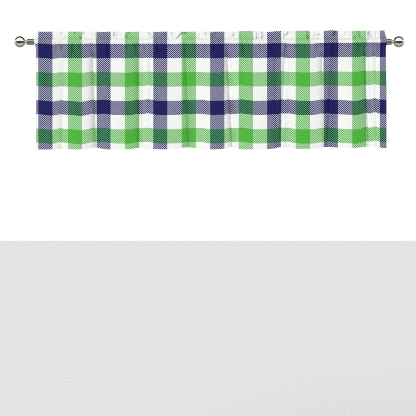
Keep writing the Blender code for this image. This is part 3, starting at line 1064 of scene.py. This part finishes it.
def seam_lines(rows, outer, normals):
    """Where the stitches run, as a list of point and outward arrays."""
    keys = list(rows)
    last = outer.shape[1] - 1
    hem_level = HEM_LEVEL + HEM_SEAM
    front_hem = min((key for key in keys if key[0] == "panel"), key=lambda key: abs(key[1] - hem_level))
    sewn = [("lower seam", -1), ("upper seam", -1), ("upper seam", 1), ("lower seam", 1)]
    sewn += [("hem back", HEM_SEAM), front_hem]
    across = slice(SEAM_END_COLUMNS, last + 1 - SEAM_END_COLUMNS)
    panel = [index for index, key in enumerate(keys) if key[0] == "panel" and key[1] > hem_level]
    inset = round(SIDE_HEM / ((CLOTH_RIGHT - CLOTH_LEFT) / last))
    places = [(keys.index(key), across) for key in sewn] + [(panel, inset), (panel, last - inset)]
    return [(outer[place], normals[place]) for place in places]


def line_mesh(name, lines):
    """A mesh of edges along the lines, with each point's way out stored on it."""
    points, ways = (np.concatenate(part) for part in zip(*lines))
    edges = []
    first = 0
    for line, _ in lines:
        edges += [(first + step, first + step + 1) for step in range(len(line) - 1)]
        first += len(line)
    mesh = bpy.data.meshes.new(name)
    mesh.from_pydata(points.tolist(), edges, [])
    out = mesh.attributes.new("out", "FLOAT_VECTOR", "POINT")
    out.data.foreach_set("vector", ways.ravel().astype(np.float32))
    return mesh


def make_stitches(settings, lines):
    guide = link_object("seam_stitches", line_mesh("seam_stitches", lines))
    tree = stitch_tree()
    modifier = guide.modifiers.new("stitches", "NODES")
    modifier.node_group = tree
    values = {
        "Pitch": settings.pitch,
        "Stitch Length": settings.length,
        "Thread Diameter": settings.thread,
        "Rise": settings.rise,
        "Seed": settings.seed,
        "Material": thread_material(),
    }
    for label, value in values.items():
        modifier[socket_key(tree, label)] = value
    bpy.context.view_layer.update()
    ready = guide.evaluated_get(bpy.context.evaluated_depsgraph_get())
    mesh = bpy.data.meshes.new_from_object(ready)
    guide.modifiers.clear()
    guide.data = mesh
    if not mesh.polygons:
        raise RuntimeError("the stitch tree made no stitches")
    return guide


# Turned finials


def curve_points(start, middle, end, steps):
    """Points along a curve that starts and ends along the lines to a middle point."""
    points = []
    for step in range(steps + 1):
        share = step / steps
        points.append(tuple(start.lerp(middle, share).lerp(middle.lerp(end, share), share)))
    return points


def round_corner(before, corner, after, radius):
    """Points that round a corner of an outline by an arc."""
    corner = Vector(corner)
    near, far = (corner + (Vector(side) - corner).normalized() * radius for side in (before, after))
    return curve_points(near, corner, far, ROUND_EDGE_STEPS)


def finial_outline(ball_steps):
    """A right finial from the bottom of its bore, round collar, groove and neck, to the ball's pole."""
    bore = ROD_RADIUS + CLEARANCE
    bottom = ROD_BOX[1].x + CLEARANCE
    rim_inner = (COLLAR_START, bore)
    rim_outer = (COLLAR_START, COLLAR_RADIUS)
    shoulder = (COLLAR_END, COLLAR_RADIUS)
    neck = (NECK_START, NECK_RADIUS)
    outline = [(bottom, 0.0), (bottom, bore)]
    outline += round_corner((bottom, bore), rim_inner, rim_outer, EDGE_ROUND / 2)
    outline += round_corner(rim_inner, rim_outer, shoulder, EDGE_ROUND)
    for step in range(GROOVE_STEPS + 1):
        share = step / GROOVE_STEPS
        depth = GROOVE_DEPTH * math.sin(math.pi * share)
        outline.append((GROOVE_AT + GROOVE_HALF_WIDTH * (2 * share - 1), COLLAR_RADIUS - depth))
    foot = (COLLAR_END, NECK_RADIUS + FOOT_FLARE)
    outline += round_corner(rim_outer, shoulder, foot, EDGE_ROUND)
    first = BALL_START_SHARE * math.asin(NECK_RADIUS / BALL_RADIUS)
    ball_start = (BALL_CENTRE - BALL_RADIUS * math.cos(first), BALL_RADIUS * math.sin(first))
    outline += curve_points(Vector(foot), Vector(neck), Vector(ball_start), NECK_STEPS)[:-1]
    for step in range(ball_steps):
        turn = mix(first, math.pi, step / ball_steps)
        outline.append((BALL_CENTRE - BALL_RADIUS * math.cos(turn), BALL_RADIUS * math.sin(turn)))
    outline.append((BALL_CENTRE + BALL_RADIUS, 0.0))
    return outline


def turned_mesh(name, outline, steps):
    """A closed solid turned about the rod's axis from an outline of along-axis and radius pairs."""
    shape = bmesh.new()
    points = [shape.verts.new((along, 0.0, radius)) for along, radius in outline]
    edges = [shape.edges.new(pair) for pair in zip(points, points[1:])]
    bmesh.ops.spin(
        shape, geom=points + edges, cent=(0, 0, 0), axis=(1, 0, 0), angle=2 * math.pi, steps=steps,
        use_merge=True,
    )
    bmesh.ops.remove_doubles(shape, verts=shape.verts, dist=1e-6)
    bmesh.ops.recalc_face_normals(shape, faces=shape.faces)
    mesh = bpy.data.meshes.new(name)
    shape.to_mesh(mesh)
    shape.free()
    mesh.shade_smooth()
    mesh.set_sharp_from_angle(angle=math.radians(FINIAL_SHARP_ANGLE))
    return mesh


def dress(piece):
    """Puts a finished piece on the one body."""
    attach(piece, "root")


class ClothSettings(bpy.types.PropertyGroup):
    sheet_thickness: bpy.props.FloatProperty(
        name="Sheet thickness", description="Thickness of one layer of the cloth",
        default=0.00045, min=0.0002, max=0.0008, precision=5, unit="LENGTH",
    )
    column_spacing: bpy.props.FloatProperty(
        name="Column spacing", description="Distance between the sheet's columns along the rod",
        default=0.0030, min=0.0026, max=0.0200, precision=4, unit="LENGTH",
    )
    crease_strength: bpy.props.FloatProperty(
        name="Crease strength", description="How deep the small creases at the heading and pocket are",
        default=1.0, min=0.0, max=2.0, subtype="FACTOR",
    )


class PrintSettings(bpy.types.PropertyGroup):
    band_width: bpy.props.FloatProperty(
        name="Band width", description="Width of one upright band of the check",
        default=0.05535, min=0.01, max=0.3, precision=5, unit="LENGTH",
    )
    band_height: bpy.props.FloatProperty(
        name="Band height", description="Height of one level band of the check",
        default=0.05500, min=0.01, max=0.3, precision=5, unit="LENGTH",
    )
    line_pitch: bpy.props.FloatProperty(
        name="Line pitch", description="Distance along the rod between the print's fine slanting lines",
        default=0.00779, min=0.002, max=0.05, precision=5, unit="LENGTH",
    )
    line_shift: bpy.props.FloatProperty(
        name="Line shift", description="Share of a pitch by which the slanting lines are shifted",
        default=0.0, min=0.0, max=1.0, subtype="FACTOR",
    )
    line_softness: bpy.props.FloatProperty(
        name="Line softness", description="How far the ink bleeds at a slanting line's edge",
        default=0.70, min=0.01, max=1.0, subtype="FACTOR",
    )
    ink_cover: bpy.props.FloatProperty(
        name="Ink cover", description="How much more than half of a band an ink covers beside white",
        default=0.16, min=0.0, max=0.5, subtype="FACTOR",
    )
    dark_cover: bpy.props.FloatProperty(
        name="Dark cover", description="How much more than half the dark ink covers beside the bright one",
        default=0.09, min=0.0, max=0.5, subtype="FACTOR",
    )
    thread_pitch: bpy.props.FloatProperty(
        name="Thread pitch", description="Distance between threads of the weave",
        default=0.0008, min=0.0002, max=0.005, precision=5, unit="LENGTH",
    )


class ColourSettings(bpy.types.PropertyGroup):
    dark: bpy.props.FloatVectorProperty(
        name="Dark ink", description="Navy of the check",
        default=(0.0160, 0.0166, 0.1030), min=0.0, max=1.0, subtype="COLOR",
    )
    bright: bpy.props.FloatVectorProperty(
        name="Bright ink", description="Green of the check",
        default=(0.0810, 0.4180, 0.0540), min=0.0, max=1.0, subtype="COLOR",
    )
    ground: bpy.props.FloatVectorProperty(
        name="Ground", description="White of the cloth between the inks",
        default=(0.83, 0.83, 0.83), min=0.0, max=1.0, subtype="COLOR",
    )
    nickel: bpy.props.FloatVectorProperty(
        name="Nickel", description="Colour of the polished metal",
        default=(0.80, 0.78, 0.75), min=0.0, max=1.0, subtype="COLOR",
    )


class StitchSettings(bpy.types.PropertyGroup):
    pitch: bpy.props.FloatProperty(
        name="Stitch pitch", description="Distance from one stitch to the next",
        default=0.0030, min=0.001, max=0.02, precision=4, unit="LENGTH",
    )
    length: bpy.props.FloatProperty(
        name="Stitch length", description="Length of thread that shows in one stitch",
        default=0.0023, min=0.0005, max=0.02, precision=4, unit="LENGTH",
    )
    thread: bpy.props.FloatProperty(
        name="Thread diameter", description="Thickness of the sewing thread",
        default=0.00030, min=0.0001, max=0.002, precision=5, unit="LENGTH",
    )
    rise: bpy.props.FloatProperty(
        name="Rise", description="How far the middle of a stitch's arch stands out",
        default=0.00045, min=0.0, max=0.002, precision=5, unit="LENGTH",
    )
    seed: bpy.props.IntProperty(
        name="Seed", description="Seed for the small changes of size between stitches",
        default=4, min=0,
    )


class FinialSettings(bpy.types.PropertyGroup):
    round_steps: bpy.props.IntProperty(
        name="Steps round", description="Faces round a turned finial",
        default=96, min=24, max=160,
    )
    ball_steps: bpy.props.IntProperty(
        name="Steps along", description="Faces along the ball from neck to pole",
        default=44, min=12, max=80,
    )


class StageSettings(bpy.types.PropertyGroup):
    distance: bpy.props.FloatProperty(
        name="Camera distance", description="From the rod's axis to the camera",
        default=6.0, min=2.0, max=20.0, unit="LENGTH",
    )
    floor_level: bpy.props.FloatProperty(
        name="Floor level", description="Height of the floor under the rod",
        default=-2.05, min=-5.0, max=-0.6, unit="LENGTH",
    )
    floor_colour: bpy.props.FloatVectorProperty(
        name="Floor", description="Colour of the pale floor",
        default=(0.90, 0.90, 0.89), min=0.0, max=1.0, subtype="COLOR",
    )
    sky_strength: bpy.props.FloatProperty(
        name="Soft light", description="Strength of the even light from all sides",
        default=0.12, min=0.0, max=4.0,
    )
    key_strength: bpy.props.FloatProperty(
        name="Key light", description="Strength of the soft light from the left and the front",
        default=2.38, min=0.0, max=20.0,
    )
    floor_strength: bpy.props.FloatProperty(
        name="Floor light", description="Strength of the soft light on the floor, from above and behind",
        default=1.5, min=0.0, max=20.0,
    )


class VALANCE_OT_cloth(bpy.types.Operator):
    """Makes the valance's cloth as one thin folded sheet with its stitched hems"""

    bl_idname = "valance.make_cloth"
    bl_label = "Make cloth"

    def execute(self, context):
        scene = context.scene
        mesh = make_sheet(scene.valance_cloth)
        looks = scene.valance_colours, scene.valance_print
        printed = cloth_material("printed_cloth", *looks, 1.0)
        reverse = cloth_material("printed_cloth_reverse", *looks, REVERSE_INK)
        sheet = link_object("valance_sheet", mesh, printed, reverse)
        dress(sheet)
        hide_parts("valance")
        return {"FINISHED"}


class VALANCE_OT_stitching(bpy.types.Operator):
    """Sews the cloth's hems and its rod pocket"""

    bl_idname = "valance.make_stitching"
    bl_label = "Make stitching"

    def execute(self, context):
        sheet = bpy.data.objects.get("valance_sheet")
        if sheet is None:
            raise RuntimeError("the cloth is made before its stitching")
        rows, _, outer, normals = sheet_grid(context.scene.valance_cloth)
        stitches = make_stitches(context.scene.valance_stitches, seam_lines(rows, outer, normals))
        dress(stitches)
        return {"FINISHED"}


class VALANCE_OT_finials(bpy.types.Operator):
    """Makes the two turned finials in polished nickel"""

    bl_idname = "valance.make_finials"
    bl_label = "Make finials"

    def execute(self, context):
        settings = context.scene.valance_finials
        tarnish = ((GROOVE_AT, GROOVE_TARNISH_REACH), (NECK_START, NECK_TARNISH_REACH))
        nickel = nickel_material("finial_nickel", context.scene.valance_colours.nickel, tarnish)
        right = finial_outline(settings.ball_steps)
        left = [(-along, radius) for along, radius in right]
        for side, outline in (("right", right), ("left", left)):
            name = f"ball_finial_{side}"
            finial = link_object(name, turned_mesh(name, outline, settings.round_steps), nickel)
            dress(finial)
            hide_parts(f"finial_{side}")
        return {"FINISHED"}


class VALANCE_OT_rod(bpy.types.Operator):
    """Gives the rod its polished nickel finish"""

    bl_idname = "valance.finish_rod"
    bl_label = "Finish rod"

    def execute(self, context):
        tarnish = ((ROD_BOX[1].x, ROD_TARNISH_REACH),)
        nickel = nickel_material("rod_nickel", context.scene.valance_colours.nickel, tarnish)
        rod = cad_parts["rod_tube"]
        rod.data.materials.clear()
        rod.data.materials.append(nickel)
        return {"FINISHED"}


def make_camera(settings):
    data = bpy.data.cameras.new("camera")
    data.sensor_width = SENSOR_WIDTH
    data.lens = SENSOR_WIDTH * settings.distance / VIEW_WIDTH
    data.clip_end = 200.0
    camera = bpy.data.objects.new("camera", data)
    camera.location = (VIEW_CENTRE_X, -settings.distance, VIEW_CENTRE_Z)
    camera.rotation_euler = (math.pi / 2, 0.0, 0.0)
    bpy.context.scene.collection.objects.link(camera)
    bpy.context.scene.camera = camera


def make_lamp(name, place, strength):
    """A far and wide soft lamp that shines from its place towards the rod."""
    data = bpy.data.lights.new(name, "SUN")
    data.energy = strength
    data.angle = math.radians(LAMP_ANGLE)
    lamp = bpy.data.objects.new(name, data)
    lamp.visible_glossy = False
    lamp.location = place
    lamp.rotation_euler = (-Vector(place)).to_track_quat("-Z", "Y").to_euler()
    bpy.context.scene.collection.objects.link(lamp)


# What polished metal reflects. Angles are in degrees, above the horizon and away
# from the viewer's side.
ABOVE_COLOUR = (1.15, 1.15, 1.13)
BELOW_COLOUR = (0.62, 0.56, 0.53)
BEHIND_ABOVE_COLOUR = (0.045, 0.052, 0.045)
BEHIND_BELOW_COLOUR = (0.30, 0.30, 0.27)
BAND_COLOUR = (0.006, 0.006, 0.006)
BAND_FRINGE_COLOUR = (0.22, 0.15, 0.11)
BAND_TOP = 10
BAND_DEPTH = 40
BAND_REACH = 82
BEHIND_FROM = 20


def reflected_studio(way):
    """Bands of light and dark for the metal, by the way a ray goes."""
    right, back, up = split(way)
    degrees = 180 / math.pi
    high = maths("ARCSINE", up) * degrees
    aside = maths("ARCTAN2", abs(right), back * -1.0) * degrees
    behind = ranged(back, -0.10, 0.06)
    low = (BAND_TOP - high) / BAND_DEPTH
    wide = aside / BAND_REACH
    reach = low * low + wide * wide
    base = blend(ranged(high, -4.0, 12.0), rgba(BELOW_COLOUR), rgba(ABOVE_COLOUR))
    for share, colour in (
        (behind * ranged(high, BEHIND_FROM - 6, BEHIND_FROM + 6), BEHIND_ABOVE_COLOUR),
        (behind * ranged(high, -BEHIND_FROM + 8, -BEHIND_FROM - 8), BEHIND_BELOW_COLOUR),
        (ranged(low, -0.04, 0.06) * ranged(reach, 1.25, 0.95), BAND_FRINGE_COLOUR),
        (ranged(low, 0.0, 0.10) * ranged(reach, 0.95, 0.70), BAND_COLOUR),
    ):
        base = blend(share, base, rgba(colour))
    return base


def make_world(settings):
    """White behind the valance, an even soft light, and a studio for the metal to reflect."""
    world = bpy.data.worlds.new("studio")
    bpy.context.scene.world = world
    world.use_nodes = True
    tree = world.node_tree
    tree.nodes.clear()
    path = named_values(add_node(tree, "ShaderNodeLightPath").outputs)
    studio = reflected_studio(output(tree, "ShaderNodeTexCoord", key="Generated"))
    lit = blend(path["Is Glossy Ray"], rgba([settings.sky_strength] * 3), studio)
    seen = blend(path["Is Camera Ray"], lit, (1.0, 1.0, 1.0, 1.0))
    background = output(tree, "ShaderNodeBackground", {"Color": seen})
    add_node(tree, "ShaderNodeOutputWorld", {0: background})


def make_flags():
    """Two small dark cards across the rod, seen only in the finials, as a photographer sets them."""
    points = []
    faces = []
    for side in (-1, 1):
        first = len(points)
        points += [(side * FLAG_AT, depth, height) for depth, height in FLAG_CORNERS]
        faces.append(tuple(range(first, first + 4)))
    mesh = bpy.data.meshes.new("flags")
    mesh.from_pydata(points, [], faces)
    material, shader, _ = new_material("flag_black")
    shade(shader, Base_Color=(0.01, 0.01, 0.01, 1.0), Roughness=0.9)
    flags = link_object("flags", mesh, material)
    flags.visible_camera = False
    flags.visible_diffuse = False
    flags.visible_shadow = False


def make_floor(settings):
    shape = bmesh.new()
    bmesh.ops.create_grid(shape, x_segments=8, y_segments=8, size=60.0)
    bmesh.ops.translate(shape, verts=shape.verts, vec=(0.0, 0.0, settings.floor_level))
    mesh = bpy.data.meshes.new("floor")
    shape.to_mesh(mesh)
    shape.free()
    floor = link_object("floor", mesh, floor_material(settings.floor_colour))
    floor.visible_glossy = False


class VALANCE_OT_stage(bpy.types.Operator):
    """Makes the camera, the pale floor and the soft studio light"""

    bl_idname = "valance.make_stage"
    bl_label = "Make stage"

    def execute(self, context):
        settings = context.scene.valance_stage
        make_camera(settings)
        make_floor(settings)
        make_world(settings)
        make_flags()
        make_lamp("key_lamp", KEY_LAMP_PLACE, settings.key_strength)
        make_lamp("floor_lamp", FLOOR_LAMP_PLACE, settings.floor_strength)
        context.scene.view_settings.view_transform = "Standard"
        context.scene.cycles.filter_width = 0.9
        context.scene.cycles.use_denoising = False
        return {"FINISHED"}


class VALANCE_PT_dresser(bpy.types.Panel):
    """Lists the pieces and their sizes"""

    bl_idname = "VALANCE_PT_dresser"
    bl_label = "Window valance"
    bl_space_type = "VIEW_3D"
    bl_region_type = "UI"
    bl_category = "Valance"

    def draw(self, context):
        for operator, groups in PIECES:
            box = self.layout.box()
            box.operator(operator)
            for group in groups:
                settings = getattr(context.scene, group)
                for label in settings.bl_rna.properties.keys():
                    if label not in ("rna_type", "name"):
                        box.prop(settings, label)


PIECES = (
    ("valance.make_cloth", ("valance_cloth", "valance_print", "valance_colours")),
    ("valance.make_stitching", ("valance_stitches",)),
    ("valance.make_finials", ("valance_finials",)),
    ("valance.finish_rod", ()),
    ("valance.make_stage", ("valance_stage",)),
)
SETTINGS = {
    "valance_cloth": ClothSettings,
    "valance_print": PrintSettings,
    "valance_colours": ColourSettings,
    "valance_stitches": StitchSettings,
    "valance_finials": FinialSettings,
    "valance_stage": StageSettings,
}
CLASSES = (
    *SETTINGS.values(),
    VALANCE_OT_cloth,
    VALANCE_OT_stitching,
    VALANCE_OT_finials,
    VALANCE_OT_rod,
    VALANCE_OT_stage,
    VALANCE_PT_dresser,
)


def register():
    for item in CLASSES:
        bpy.utils.register_class(item)
    for name, settings in SETTINGS.items():
        setattr(bpy.types.Scene, name, bpy.props.PointerProperty(type=settings))


def unregister():
    for name in SETTINGS:
        delattr(bpy.types.Scene, name)
    for item in reversed(CLASSES):
        bpy.utils.unregister_class(item)


def main():
    register()
    bpy.ops.valance.make_stage()
    bpy.ops.valance.make_cloth()
    bpy.ops.valance.make_stitching()
    bpy.ops.valance.make_finials()
    bpy.ops.valance.finish_rod()
    bpy.context.view_layer.update()


if __name__ == "__main__":
    main()
